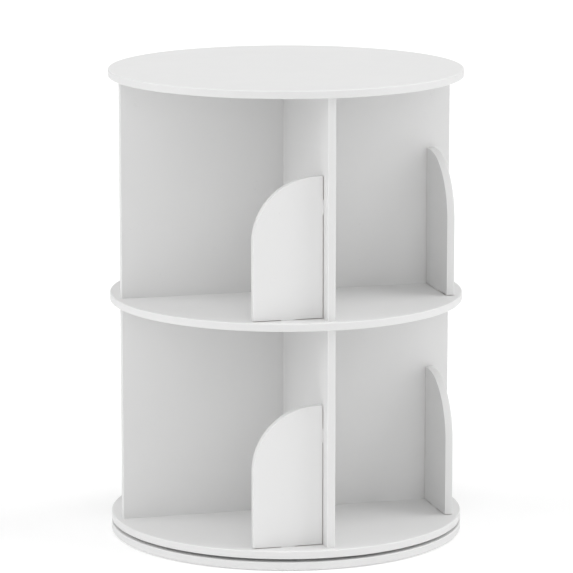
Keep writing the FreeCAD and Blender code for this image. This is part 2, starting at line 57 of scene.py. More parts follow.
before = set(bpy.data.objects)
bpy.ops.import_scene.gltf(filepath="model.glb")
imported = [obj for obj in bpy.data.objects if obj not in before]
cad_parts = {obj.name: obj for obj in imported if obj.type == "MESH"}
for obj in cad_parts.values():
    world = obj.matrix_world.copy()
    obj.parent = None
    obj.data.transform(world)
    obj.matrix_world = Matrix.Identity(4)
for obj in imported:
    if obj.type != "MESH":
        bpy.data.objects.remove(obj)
cad_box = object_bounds()

MM = 0.001
QUARTER = math.pi / 2
X, Y, Z = range(3)

# The arms of each cross and the compartments between them, going round by quarter turns
ARMS = ("front", "right", "back", "left")
COMPARTMENTS = ("front_left", "front_right", "back_right", "back_left")
TIERS = ("lower", "upper")

# Each disc with the body that it belongs to
DISCS = {
    "base_disc": "base",
    "bottom_shelf": "carousel",
    "middle_shelf": "carousel",
    "top_shelf": "carousel",
}

# The nodes of the bearing and the fixings, by what they are made of
RINGS = ("bearing_inner_ring", "bearing_outer_ring")
UPRIGHT_DOWELS = ("bottom_shelf_dowels", "middle_shelf_dowels", "top_shelf_dowels")
CROSS_DOWELS = ("lower_cross_dowels", "upper_cross_dowels")
PLATED = ("inner_ring_screws", "outer_ring_screws", "shelf_screws", "top_cam_bolts", "double_cam_bolts")
CAM_LOCKS = ("lower_cam_locks", "upper_cam_locks")

# How close two places are to count as the same, and how close two points are to be merged
SAME_PLACE = 0.01 * MM
MERGED = 0.001 * MM

# Edges that turn by more than this stay sharp
SHARP_EDGE = math.radians(35)

# Faces round a cover or a pad, and across each rounding
ROUND_STEPS = 64
BAND_ROUNDING_STEPS = 6
COVER_ROUNDING_STEPS = 4
PAD_ROUNDING_STEPS = 3

# How far the seam's groove reaches in from the rim, and the faces that it may cut on each side of it
SEAM_REACH = 1.5 * MM
SEAM_FACES = 1.5

# The range that soft noise mostly keeps to
NOISE_LOW = 0.3
NOISE_HIGH = 0.7

# Colours of the metals, nylon, beech, dust and grease, each pair from one patch to the next
ALUMINIUM = ((0.66, 0.67, 0.69, 1.0), (0.80, 0.81, 0.82, 1.0))
GREASED_STEEL = ((0.70, 0.70, 0.71, 1.0), (0.58, 0.54, 0.46, 1.0))
NYLON = ((0.70, 0.67, 0.60, 1.0), (0.82, 0.80, 0.74, 1.0))
BEECH = ((0.44, 0.27, 0.14, 1.0), (0.62, 0.43, 0.25, 1.0))
BEECH_FLECK = (0.30, 0.16, 0.08, 1.0)
ZINC = ((0.42, 0.43, 0.45, 1.0), (0.60, 0.61, 0.62, 1.0))
ZINC_PLATE = ((0.60, 0.63, 0.68, 1.0), (0.72, 0.69, 0.60, 1.0))
DUST = (0.20, 0.19, 0.18, 1.0)
WHITE = (1.0, 1.0, 1.0, 1.0)

# Each light's name, the setting that holds its strength, and where it hangs
LIGHTS = (
    ("overhead_light", "overhead", (0.0, 0.0, 5.4)),
    ("light_from_behind", "behind", (0.0, 3.5, 3.9)),
    ("front_light", "front", (-0.7, -4.1, 2.6)),
    ("left_light", "left", (-4.1, 0.0, 3.2)),
    ("right_light", "right", (4.0, -1.1, 3.2)),
)

# Width of the camera's sensor in millimetres
SENSOR_WIDTH = 36


# Sizes and colours that can be changed


class LaminateSettings(bpy.types.PropertyGroup):
    """The white faces of the boards and the chips under them."""

    colour: FloatVectorProperty(
        name="Laminate colour",
        description="Colour of the melamine face",
        default=(0.75, 0.75, 0.748),
        size=3,
        min=0,
        max=1,
        subtype="COLOR",
    )
    skin: FloatProperty(
        name="Laminate thickness",
        description="How deep the white goes before the chips show at a cut edge",
        default=0.25 * MM,
        min=0,
        unit="LENGTH",
    )
    roughness: FloatProperty(
        name="Laminate roughness",
        description="How matt the melamine face is",
        default=0.52,
        min=0,
        max=1,
        subtype="FACTOR",
    )
    gloss: FloatProperty(
        name="Laminate gloss",
        description="How strongly the melamine face mirrors light",
        default=0.16,
        min=0,
        max=1,
        subtype="FACTOR",
    )
    peel_depth: FloatProperty(
        name="Peel depth",
        description="Height of the fine orange peel in the melamine",
        default=0.006 * MM,
        min=0,
        unit="LENGTH",
    )
    chip_colour: FloatVectorProperty(
        name="Chip colour",
        description="Middle colour of the chips inside the boards",
        default=(0.47, 0.33, 0.20),
        size=3,
        min=0,
        max=1,
        subtype="COLOR",
    )


class EdgingSettings(bpy.types.PropertyGroup):
    """The bands glued round the edges of the boards."""

    colour: FloatVectorProperty(
        name="Edging colour",
        description="Colour of the edge bands",
        default=(0.71, 0.71, 0.708),
        size=3,
        min=0,
        max=1,
        subtype="COLOR",
    )
    roughness: FloatProperty(
        name="Edging roughness",
        description="How matt the edge bands are",
        default=0.47,
        min=0,
        max=1,
        subtype="FACTOR",
    )
    gloss: FloatProperty(
        name="Edging gloss",
        description="How strongly the edge bands mirror light",
        default=0.30,
        min=0,
        max=1,
        subtype="FACTOR",
    )
    tuck: FloatProperty(
        name="Tuck",
        description="How far the hidden back of a band reaches into its board",
        default=0.5 * MM,
        min=0,
        unit="LENGTH",
    )
    thinning: FloatProperty(
        name="Thinning",
        description="How far the hidden back of a band slopes in from each face of its board",
        default=0.04 * MM,
        min=0,
        unit="LENGTH",
    )
    disc_rounding: FloatProperty(
        name="Disc rounding",
        description="Radius of the soft edge round the discs",
        default=1.5 * MM,
        min=0,
        unit="LENGTH",
    )
    panel_rounding: FloatProperty(
        name="Panel rounding",
        description="Radius of the soft edge on dividers and stops",
        default=0.6 * MM,
        min=0,
        unit="LENGTH",
    )
    disc_steps: IntProperty(
        name="Steps round a disc",
        description="Number of faces round the edge of a disc",
        default=256,
        min=32,
    )
    arch_steps: IntProperty(
        name="Steps in an arch",
        description="Number of faces round the arch of a stop",
        default=48,
        min=8,
    )
    seam_angle: FloatProperty(
        name="Seam place",
        description="Where the two ends of a disc's band meet, going round from the right",
        default=math.radians(104),
        subtype="ANGLE",
    )
    seam_width: FloatProperty(
        name="Seam width",
        description="Width of the groove where the two ends of a disc's band meet",
        default=0.3 * MM,
        min=0,
        unit="LENGTH",
    )
    seam_depth: FloatProperty(
        name="Seam depth",
        description="Depth of the groove where the two ends of a disc's band meet",
        default=0.2 * MM,
        min=0,
        unit="LENGTH",
    )


class FittingSettings(bpy.types.PropertyGroup):
    """The covers of the cam locks and the pads under the base."""

    cover_colour: FloatVectorProperty(
        name="Cover colour",
        description="Colour of the covers over the cam locks",
        default=(0.77, 0.77, 0.765),
        size=3,
        min=0,
        max=1,
        subtype="COLOR",
    )
    cover_thickness: FloatProperty(
        name="Cover thickness",
        description="Thickness of a cover at its rim",
        default=0.8 * MM,
        min=0,
        unit="LENGTH",
    )
    cover_rounding: FloatProperty(
        name="Cover rounding",
        description="Radius of the soft rim of a cover",
        default=0.3 * MM,
        min=0,
        unit="LENGTH",
    )
    cover_dish: FloatProperty(
        name="Cover dish",
        description="How far the middle of a cover lies below its rim",
        default=0.25 * MM,
        min=0,
        unit="LENGTH",
    )
    cover_rim: FloatProperty(
        name="Cover rim",
        description="Width of the raised rim of a cover",
        default=1.4 * MM,
        min=0,
        unit="LENGTH",
    )
    pad_colour: FloatVectorProperty(
        name="Pad colour",
        description="Colour of the pads under the base",
        default=(0.030, 0.030, 0.032),
        size=3,
        min=0,
        max=1,
        subtype="COLOR",
    )
    pad_radius: FloatProperty(
        name="Pad radius",
        description="Radius of a pad under the base",
        default=12.5 * MM,
        min=0,
        unit="LENGTH",
    )
    pad_count: IntProperty(
        name="Pads",
        description="Number of pads under the base",
        default=6,
        min=3,
    )
    pad_rounding: FloatProperty(
        name="Pad rounding",
        description="Radius of the worn edge of a pad",
        default=0.4 * MM,
        min=0,
        unit="LENGTH",
    )
    tape: FloatProperty(
        name="Tape thickness",
        description="Thickness of the double-sided tape on a pad",
        default=0.2 * MM,
        min=0,
        unit="LENGTH",
    )


class StageSettings(bpy.types.PropertyGroup):
    """Floor, light and camera."""

    floor_colour: FloatVectorProperty(
        name="Floor colour",
        description="Colour of the studio floor",
        default=(0.80, 0.80, 0.80),
        size=3,
        min=0,
        max=1,
        subtype="COLOR",
    )
    floor_size: FloatProperty(
        name="Floor size",
        description="Length of one side of the studio floor",
        default=80.0,
        min=1,
        unit="LENGTH",
    )
    floor_glow: FloatProperty(
        name="Floor glow",
        description="Light that the floor gives by itself, which keeps shadows on it pale",
        default=0.24,
        min=0,
    )
    surround: FloatProperty(
        name="Surround",
        description="Strength of the even light from all round",
        default=0.15,
        min=0,
    )
    overhead: FloatProperty(
        name="Overhead light",
        description="Strength of the light straight overhead",
        default=0.85,
        min=0,
    )
    behind: FloatProperty(
        name="Light from behind",
        description="Strength of the light above and behind",
        default=0.30,
        min=0,
    )
    front: FloatProperty(
        name="Front light",
        description="Strength of the light from above the camera",
        default=0.79,
        min=0,
    )
    left: FloatProperty(
        name="Left light",
        description="Strength of the light from the left",
        default=1.45,
        min=0,
    )
    right: FloatProperty(
        name="Right light",
        description="Strength of the light from the right",
        default=1.58,
        min=0,
    )
    spread: FloatProperty(
        name="Spread",
        description="How wide each light looks from the bookcase, which softens its shadows",
        default=math.radians(60),
        min=0,
        subtype="ANGLE",
    )
    camera_place: FloatVectorProperty(
        name="Camera place",
        description="Where the camera stands",
        default=(-1.4710, -5.4709, 1.4660),
        size=3,
        subtype="TRANSLATION",
    )
    camera_turn: FloatVectorProperty(
        name="Camera turn",
        description="Which way the camera looks",
        default=(math.radians(79.199), 0.0, math.radians(-15.058)),
        size=3,
        subtype="EULER",
    )
    camera_lens: FloatProperty(
        name="Camera lens",
        description="Focal length in millimetres, on a 36 mm sensor",
        default=231.815,
        min=1,
    )


# Ways of selecting and shaping, in code, what would be picked by hand


def clear_selection():
    """Leaves nothing selected."""
    bpy.ops.object.select_all(action="DESELECT")


def enter(piece):
    """Opens one piece in edit mode."""
    clear_selection()
    bpy.context.view_layer.objects.active = piece
    piece.select_set(True)
    bpy.ops.object.mode_set(mode="EDIT")


def leave():
    """Closes the piece that is in edit mode."""
    bpy.ops.object.mode_set(mode="OBJECT")


def settle(piece):
    """Puts a piece's place, turn and scale in its mesh, so that its object sits at the origin."""
    clear_selection()
    bpy.context.view_layer.objects.active = piece
    piece.select_set(True)
    bpy.ops.object.transform_apply(location=True, rotation=True, scale=True)


def middle_of(item):
    """The middle of a vertex, edge or face in edit mode."""
    if isinstance(item, bmesh.types.BMVert):
        return item.co.copy()
    if isinstance(item, bmesh.types.BMEdge):
        return (item.verts[0].co + item.verts[1].co) / 2
    return item.calc_center_median()


def pick(kind, test):
    """Selects the vertices, edges or faces of the open piece whose middle passes a test."""
    mesh = bpy.context.edit_object.data
    modes = {"verts": "VERT", "edges": "EDGE", "faces": "FACE"}
    bpy.ops.mesh.select_mode(type=modes[kind])
    bpy.ops.mesh.select_all(action="DESELECT")
    shape = bmesh.from_edit_mesh(mesh)
    for item in getattr(shape, kind):
        item.select_set(bool(test(middle_of(item))))
    shape.select_flush_mode()
    bmesh.update_edit_mesh(mesh)


def pick_all():
    """Selects all of the open piece."""
    bpy.ops.mesh.select_mode(type="VERT")
    bpy.ops.mesh.select_all(action="SELECT")


def near(value, wanted):
    """Whether two places on one axis are the same."""
    return abs(value - wanted) < SAME_PLACE


def close_up():
    """Merges what lies on one place in the open piece and turns its faces outwards."""
    pick_all()
    bpy.ops.mesh.remove_doubles(threshold=MERGED)
    bpy.ops.mesh.normals_make_consistent(inside=False)


def smooth(piece):
    """Shades a piece smooth, except over its sharp edges."""
    clear_selection()
    bpy.context.view_layer.objects.active = piece
    piece.select_set(True)
    bpy.ops.object.shade_smooth_by_angle(angle=SHARP_EDGE)


def rectangle(name, low, high):
    """A rectangle from low to high, which lie in a plane square to one axis."""
    clear_selection()
    size = high - low
    flat = min((X, Y, Z), key=lambda axis: size[axis])
    turns = {X: (0, QUARTER, 0), Y: (QUARTER, 0, 0), Z: (0, 0, 0)}
    sides = {X: (size.z, size.y), Y: (size.x, size.z), Z: (size.x, size.y)}
    bpy.ops.mesh.primitive_plane_add(size=1, location=(low + high) / 2, rotation=turns[flat])
    piece = bpy.context.object
    piece.name = name
    piece.data.name = name
    piece.scale = (sides[flat][0], sides[flat][1], 1)
    settle(piece)
    return piece


def copy_of(piece, name, turns=0, shift=(0, 0, 0)):
    """A copy with its own mesh, turned by quarter turns about the axis of the carousel, then shifted."""
    clear_selection()
    bpy.context.view_layer.objects.active = piece
    piece.select_set(True)
    bpy.ops.object.duplicate(linked=False)
    copy = bpy.context.object
    copy.name = name
    copy.data.name = name
    copy.rotation_euler.z = turns * QUARTER
    copy.location = shift
    settle(copy)
    return copy


def remove(piece):
    """Takes away the pattern that copies were made from."""
    bpy.data.meshes.remove(piece.data)


def joined(name, pieces):
    """One piece made of several."""
    clear_selection()
    for piece in pieces:
        piece.select_set(True)
    bpy.context.view_layer.objects.active = pieces[0]
    bpy.ops.object.join()
    whole = bpy.context.object
    whole.name = name
    whole.data.name = name
    return whole


def dress(piece, material):
    """Gives a new piece its material."""
    piece.data.materials.clear()
    piece.data.materials.append(material)


def place_in_frame(piece, body, node):
    """Lets a piece ride on its body in place of a node."""
    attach(piece, body)
    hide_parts(node)


# Materials


class Tree:
    """A material's node tree, with short ways to add its nodes and join them."""

    def __init__(self, name):
        self.material = bpy.data.materials.new(name)
        self.material.use_nodes = True
        self.tree = self.material.node_tree
        self.tree.nodes.clear()
        self.shader = self.tree.nodes.new("ShaderNodeBsdfPrincipled")
        output = self.tree.nodes.new("ShaderNodeOutputMaterial")
        self.tree.links.new(self.shader.outputs["BSDF"], output.inputs["Surface"])
        self.place = self.node("ShaderNodeTexCoord").outputs["Object"]
        parts = self.node("ShaderNodeSeparateXYZ", {"Vector": self.place})
        self.along = [parts.outputs[axis] for axis in (X, Y, Z)]

    def feed(self, socket, value):
        """Joins a socket to an output, or sets its value."""
        if isinstance(value, bpy.types.NodeSocket):
            self.tree.links.new(value, socket)
        else:
            socket.default_value = value

    def node(self, kind, feeds=None, **settings):
        """A node with its settings and inputs."""
        made = self.tree.nodes.new(kind)
        for name, value in settings.items():
            setattr(made, name, value)
        for name, value in (feeds or {}).items():
            self.feed(made.inputs[name], value)
        return made

    def math(self, operation, first, second=0.0):
        """The result of a sum, product or other operation on numbers."""
        made = self.node("ShaderNodeMath", operation=operation)
        self.feed(made.inputs[0], first)
        self.feed(made.inputs[1], second)
        return made.outputs[0]

    def times(self, vector, by):
        """A vector stretched by a factor for each axis."""
        made = self.node("ShaderNodeVectorMath", operation="MULTIPLY")
        self.feed(made.inputs[0], vector)
        self.feed(made.inputs[1], by)
        return made.outputs[0]

    def scaled(self, value, by):
        """A value made larger or smaller."""
        return self.math("MULTIPLY", value, by)

    def noise(self, vector, scale, detail):
        """Soft noise from 0 to 1, with a scale in waves for each metre."""
        feeds = {"Vector": vector, "Scale": scale, "Detail": detail}
        return self.node("ShaderNodeTexNoise", feeds).outputs["Fac"]

    def cells(self, vector, scale):
        """A number for each cell of a broken-up surface, and the distance to the cell's middle."""
        made = self.node("ShaderNodeTexVoronoi", {"Vector": vector, "Scale": scale})
        shade = self.node("ShaderNodeSeparateColor", {"Color": made.outputs["Color"]})
        return shade.outputs[0], made.outputs["Distance"]

    def between(self, value, low, high, first=0.0, last=1.0):
        """A value's place from low to high, as a number from first to last."""
        feeds = {"Value": value, "From Min": low, "From Max": high, "To Min": first, "To Max": last}
        return self.node("ShaderNodeMapRange", feeds).outputs["Result"]

    def ranged(self, noise, first=0.0, last=1.0):
        """Soft noise as a number from first to last."""
        return self.between(noise, NOISE_LOW, NOISE_HIGH, first, last)

    def blend(self, share, first, second):
        """A colour between two."""
        made = self.node("ShaderNodeMix", data_type="RGBA")
        self.feed(made.inputs[0], share)
        for socket, value in zip((6, 7), (first, second)):
            self.feed(made.inputs[socket], value)
        return made.outputs[2]

    def varied(self, share, colour, by):
        """A colour that gets a little darker and lighter."""
        return self.blend(share, shaded(colour, 1 - by), shaded(colour, 1 + by))

    def relief(self, height, depth, under=None):
        """A bumpy normal, with its depth in metres, laid over another."""
        feeds = {"Height": height, "Distance": depth, "Strength": 1.0}
        if under is not None:
            feeds["Normal"] = under
        return self.node("ShaderNodeBump", feeds).outputs["Normal"]

    def depth_in(self, board):
        """How far a point lies below the nearer broad face of a board."""
        axis, middle, half = board
        off = self.math("ABSOLUTE", self.math("SUBTRACT", self.along[axis], middle))
        return self.math("SUBTRACT", half, off)

    def finish(self, colour, roughness, normal, metallic=0.0, gloss=0.5):
        """Joins colour, roughness and normal to the shader."""
        self.feed(self.shader.inputs["Base Color"], colour)
        self.feed(self.shader.inputs["Roughness"], roughness)
        self.feed(self.shader.inputs["Normal"], normal)
        self.shader.inputs["Metallic"].default_value = metallic
        self.shader.inputs["Specular IOR Level"].default_value = gloss
        return self.material


def shaded(colour, factor):
    """A colour made lighter or darker, as four numbers."""
    return [min(1.0, part * factor) for part in colour] + [1.0]


def board_of(node):
    """A flat board's thin axis, the middle of its thickness and half its thickness."""
    low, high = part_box(node)
    size = high - low
    axis = min((X, Y, Z), key=lambda one: size[one])
    return axis, (low[axis] + high[axis]) / 2, size[axis] / 2


def one_way(axis, along, across):
    """A factor for each axis, with its own one along a single axis."""
    factors = [across, across, across]
    factors[axis] = along
    return factors


def scratches(tree):
    """A sparse net of hairline scuffs, from 0 to 1."""
    wander = tree.math("SUBTRACT", tree.noise(tree.place, scale=55.0, detail=1.0), 0.5)
    line = tree.between(tree.math("ABSOLUTE", wander), low=0.0, high=0.0035, first=1.0, last=0.0)
    patch = tree.between(tree.noise(tree.place, scale=21.0, detail=1.0), low=0.52, high=0.64)
    return tree.math("MULTIPLY", line, patch)


def laminate(name, board):
    """White melamine on chipboard: the white is only skin deep, so raw edges and holes show the chips."""
    settings = bpy.context.scene.bookcase_laminate
    tree = Tree(name)
    inside = tree.between(tree.depth_in(board), low=0.8 * settings.skin, high=1.2 * settings.skin)

    mottle = tree.noise(tree.place, scale=9.0, detail=3.0)
    scuffs = scratches(tree)
    white = tree.varied(mottle, settings.colour, by=0.015)
    white = tree.blend(tree.scaled(scuffs, by=0.35), white, shaded(settings.colour, 0.82))

    pressed_flat = one_way(board[0], along=6.0, across=2.2)
    chips, rise = tree.cells(tree.times(tree.place, pressed_flat), scale=150.0)
    brown = tree.blend(chips, shaded(settings.chip_colour, 0.62), shaded(settings.chip_colour, 1.45))

    cloud = tree.noise(tree.place, scale=30.0, detail=3.0)
    rough_white = tree.math("ADD", tree.ranged(cloud, first=-0.03, last=0.03), settings.roughness)
    rough_white = tree.math("ADD", rough_white, tree.scaled(scuffs, by=0.12))
    rough = tree.math("MAXIMUM", rough_white, tree.scaled(inside, by=0.9))

    telegraph = tree.relief(tree.noise(tree.place, scale=70.0, detail=2.0), depth=0.010 * MM)
    orange_peel = tree.noise(tree.place, scale=900.0, detail=1.0)
    peel = tree.relief(orange_peel, settings.peel_depth, under=telegraph)
    torn = tree.math("MULTIPLY", rise, inside)
    normal = tree.relief(torn, depth=0.35 * MM, under=peel)
    return tree.finish(tree.blend(inside, white, brown), rough, normal, gloss=settings.gloss)


def edging(name, board):
    """White plastic edge band, drawn lengthwise, and paler near both faces of its board: partly whitened
    where it was scraped flush, partly a painted highlight along its rounded edges.
    """
    settings = bpy.context.scene.bookcase_edging
    tree = Tree(name)
    drawn = tree.times(tree.place, one_way(board[0], along=2600.0, across=14.0))
    lines = tree.noise(drawn, scale=1.0, detail=2.0)
    patches = tree.noise(tree.place, scale=34.0, detail=3.0)
    # The zone within a little over a millimetre of each face of the board, along the band's top and bottom
    # edges
    face_zone = tree.between(tree.depth_in(board), low=0.2 * MM, high=1.6 * MM, first=1.0, last=0.0)
    scraped_and_highlight = tree.math("MULTIPLY", face_zone, tree.ranged(patches, first=0.7, last=1.0))

    colour = tree.varied(lines, settings.colour, by=0.01)
    # Painted highlight: the band is made 10 % lighter along its top and bottom edges, partly standing for
    # the whitening of scraping and partly for the light on its rounded edges
    colour = tree.blend(scraped_and_highlight, colour, shaded(settings.colour, 1.10))
    rough = tree.ranged(lines, first=settings.roughness - 0.03, last=settings.roughness + 0.04)
    rough = tree.math("ADD", rough, tree.scaled(scraped_and_highlight, by=0.08))
    drawn_lines = tree.relief(lines, depth=0.003 * MM)
    grain = tree.noise(tree.place, scale=620.0, detail=1.0)
    normal = tree.relief(grain, depth=0.004 * MM, under=drawn_lines)
    return tree.finish(colour, rough, normal, gloss=settings.gloss)


def cover_plastic(name):
    """Glossy moulded plastic with the fine grain of its mould."""
    settings = bpy.context.scene.bookcase_fittings
    tree = Tree(name)
    grain = tree.noise(tree.place, scale=3200.0, detail=1.0)
    cloud = tree.noise(tree.place, scale=160.0, detail=2.0)
    colour = tree.varied(cloud, settings.cover_colour, by=0.015)
    rough = tree.ranged(cloud, first=0.20, last=0.28)
    return tree.finish(colour, rough, tree.relief(grain, depth=0.003 * MM))


def pad_foam(name):
    """Dark closed-cell foam rubber, dusty where it has rubbed."""
    settings = bpy.context.scene.bookcase_fittings
    tree = Tree(name)
    cell, rise = tree.cells(tree.place, scale=1500.0)
    dust = tree.between(tree.noise(tree.place, scale=240.0, detail=3.0), low=0.45, high=0.75)
    colour = tree.blend(cell, shaded(settings.pad_colour, 0.8), shaded(settings.pad_colour, 1.3))
    colour = tree.blend(tree.scaled(dust, by=0.25), colour, DUST)
    rough = tree.between(cell, low=0.0, high=1.0, first=0.82, last=0.95)
    return tree.finish(colour, rough, tree.relief(rise, depth=0.06 * MM))


def turned_aluminium(name):
    """Aluminium turned on a lathe, with rings of fine tool marks."""
    tree = Tree(name)
    square = tree.math("MULTIPLY", tree.along[X], tree.along[X])
    other = tree.math("MULTIPLY", tree.along[Y], tree.along[Y])
    radius = tree.math("SQRT", tree.math("ADD", square, other))
    section = tree.node("ShaderNodeCombineXYZ", {"X": radius, "Y": tree.along[Z]}).outputs[0]
    marks = tree.noise(section, scale=3400.0, detail=2.0)
    bloom = tree.noise(tree.place, scale=90.0, detail=3.0)
    rough = tree.math("ADD", tree.ranged(marks, first=0.24, last=0.36), tree.scaled(bloom, by=0.06))
    normal = tree.relief(marks, depth=0.006 * MM)
    return tree.finish(tree.blend(bloom, *ALUMINIUM), rough, normal, metallic=1.0)


def ball_steel(name):
    """Ground bearing steel under a thin film of grease."""
    tree = Tree(name)
    film = tree.noise(tree.place, scale=700.0, detail=3.0)
    lapped = tree.noise(tree.place, scale=5200.0, detail=1.0)
    colour = tree.blend(tree.between(film, low=0.5, high=0.8), *GREASED_STEEL)
    rough = tree.between(film, low=0.3, high=0.8, first=0.06, last=0.24)
    return tree.finish(colour, rough, tree.relief(lapped, depth=0.0006 * MM), metallic=1.0)


def nylon(name):
    """Natural nylon, a little cloudy, which lets light a short way in."""
    tree = Tree(name)
    cloud = tree.noise(tree.place, scale=300.0, detail=3.0)
    grain = tree.noise(tree.place, scale=2600.0, detail=2.0)
    tree.shader.inputs["Subsurface Weight"].default_value = 0.25
    tree.shader.inputs["Subsurface Scale"].default_value = 1.0 * MM
    rough = tree.ranged(grain, first=0.42, last=0.56)
    return tree.finish(tree.blend(cloud, *NYLON), rough, tree.relief(grain, depth=0.01 * MM))


def beech(name, grain_axis):
    """Plain beech, with its grain and short ray flecks along one axis."""
    tree = Tree(name)
    long_fibres = one_way(grain_axis, along=4.0, across=60.0)
    fibre = tree.noise(tree.times(tree.place, long_fibres), scale=22.0, detail=4.0)
    long_flecks = one_way(grain_axis, along=1.6, across=9.0)
    fleck, _ = tree.cells(tree.times(tree.place, long_flecks), scale=190.0)
    flecks = tree.between(fleck, low=0.80, high=0.86)
    colour = tree.blend(tree.ranged(fibre), *BEECH)
    colour = tree.blend(tree.scaled(flecks, by=0.45), colour, BEECH_FLECK)
    rough = tree.ranged(fibre, first=0.50, last=0.66)
    return tree.finish(colour, rough, tree.relief(fibre, depth=0.05 * MM))


def cast_zinc(name):
    """Dull die-cast zinc, with a cloudy skin."""
    tree = Tree(name)
    cloud, rise = tree.cells(tree.place, scale=420.0)
    grain = tree.noise(tree.place, scale=1900.0, detail=3.0)
    rough = tree.ranged(grain, first=0.42, last=0.60)
    skin = tree.relief(grain, depth=0.02 * MM)
    normal = tree.relief(rise, depth=0.01 * MM, under=skin)
    return tree.finish(tree.blend(cloud, *ZINC), rough, normal, metallic=1.0)


def plated_steel(name):
    """Bright zinc plate over steel, bluish in places and straw-coloured in others."""
    tree = Tree(name)
    tint = tree.between(tree.noise(tree.place, scale=260.0, detail=2.0), low=0.35, high=0.65)
    drawn = tree.noise(tree.place, scale=2400.0, detail=2.0)
    rough = tree.ranged(drawn, first=0.22, last=0.38)
    normal = tree.relief(drawn, depth=0.006 * MM)
    return tree.finish(tree.blend(tint, *ZINC_PLATE), rough, normal, metallic=1.0)


def studio_floor(name):
    """Plain pale floor that gives a little light of its own."""
    settings = bpy.context.scene.bookcase_stage
    tree = Tree(name)
    cloud = tree.noise(tree.place, scale=0.6, detail=2.0)
    colour = tree.varied(cloud, settings.floor_colour, by=0.005)
    tree.shader.inputs["Emission Color"].default_value = WHITE
    tree.shader.inputs["Emission Strength"].default_value = settings.floor_glow
    rough = tree.between(cloud, low=0.0, high=1.0, first=0.85, last=0.95)
    return tree.finish(colour, rough, tree.relief(cloud, depth=0.1 * MM))


def paint_node(node, material):
    """Gives a node of the frame its material."""
    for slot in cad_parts[node].material_slots:
        slot.material = material


# Operators, one for each piece or group of like pieces


class BOOKCASE_OT_discs(bpy.types.Operator):
    """Lay the laminate on the base and the three shelves"""

    bl_idname = "bookcase.discs"
    bl_label = "Base and Shelves"

    def execute(self, context):
        for node in DISCS:
            paint_node(node, laminate("laminate_" + node, board_of(node)))
        return {"FINISHED"}


class BOOKCASE_OT_dividers(bpy.types.Operator):
    """Lay the laminate on the crossed dividers of both tiers"""

    bl_idname = "bookcase.dividers"
    bl_label = "Dividers"

    def execute(self, context):
        through = laminate("laminate_through_dividers", board_of("lower_through_divider"))
        half = laminate("laminate_half_dividers", board_of("lower_right_half_divider"))
        for tier in TIERS:
            paint_node(tier + "_through_divider", through)
            paint_node(tier + "_right_half_divider", half)
            paint_node(tier + "_left_half_divider", half)
        return {"FINISHED"}


class BOOKCASE_OT_stops(bpy.types.Operator):
    """Lay the laminate on the arched stops of both tiers"""

    bl_idname = "bookcase.stops"
    bl_label = "Arched Stops"

    def execute(self, context):
        for compartment in COMPARTMENTS:
            board = board_of("lower_" + compartment + "_stop")
            material = laminate("laminate_" + compartment + "_stops", board)
            for tier in TIERS:
                paint_node(tier + "_" + compartment + "_stop", material)
        return {"FINISHED"}


def trim_section(along, outside, rounding, back, half, settings):
    """Rounds the outside of the open band's section and slopes its back, which is hidden in the board."""
    pick("verts", lambda point: near(point[along], outside))
    bpy.ops.mesh.bevel(offset=rounding, segments=BAND_ROUNDING_STEPS, affect="VERTICES")
    pick("verts", lambda point: near(point[along], back[along]))
    bpy.ops.mesh.bevel(offset=settings.tuck, segments=1, affect="VERTICES")
    pick("verts", lambda point: near(point[along], back[along]))
    wider = (half - settings.thinning) / (half - settings.tuck)
    bpy.ops.transform.resize(value=(wider, wider, wider), center_override=back)


def cut_seam(radius, settings):
    """Cuts the fine groove where the two ends of a disc's band meet, in the open piece."""
    out = Vector((math.cos(settings.seam_angle), math.sin(settings.seam_angle), 0))
    across = Vector((-out.y, out.x, 0))
    step = 2 * math.pi * radius / settings.disc_steps

    def beside(point):
        return abs(point.dot(across)) < SEAM_FACES * step and point.dot(out) > 0

    for offset in (-settings.seam_width / 2, 0, settings.seam_width / 2):
        pick("faces", beside)
        bpy.ops.mesh.bisect(plane_co=out * radius + across * offset, plane_no=across)
    inner = radius - SEAM_REACH

    def on_seam(point):
        return beside(point) and near(point.dot(across), 0) and point.dot(out) > inner

    pick("verts", on_seam)
    bpy.ops.transform.translate(value=-out * settings.seam_depth)


class BOOKCASE_OT_disc_edging(bpy.types.Operator):
    """Draw the band round each disc, spun from its section, with the seam of its two ends"""

    bl_idname = "bookcase.disc_edging"
    bl_label = "Edging of the Discs"

    def execute(self, context):
        settings = context.scene.bookcase_edging
        low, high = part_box("top_shelf_edge_band")
        outer = high.x
        _, middle, half = board_of("top_shelf")
        back = Vector((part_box("top_shelf")[1].x - settings.tuck, 0, middle))
        band = rectangle("band", Vector((back.x, 0, low.z)), Vector((outer, 0, high.z)))
        enter(band)
        trim_section(X, outer, settings.disc_rounding, back, half, settings)
        pick_all()
        bpy.ops.mesh.delete(type="ONLY_FACE")
        pick_all()
        turn = 2 * math.pi
        bpy.ops.mesh.spin(steps=settings.disc_steps, angle=turn, center=(0, 0, 0), axis=(0, 0, 1))
        close_up()
        cut_seam(outer, settings)
        leave()
        smooth(band)
        for disc, body in DISCS.items():
            node = disc.replace("base_disc", "base") + "_edge_band"
            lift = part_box(node)[0].z - low.z
            piece = copy_of(band, disc + "_edging", shift=(0, 0, lift))
            dress(piece, edging("edging_" + disc, board_of(disc)))
            place_in_frame(piece, body, node)
        remove(band)
        return {"FINISHED"}


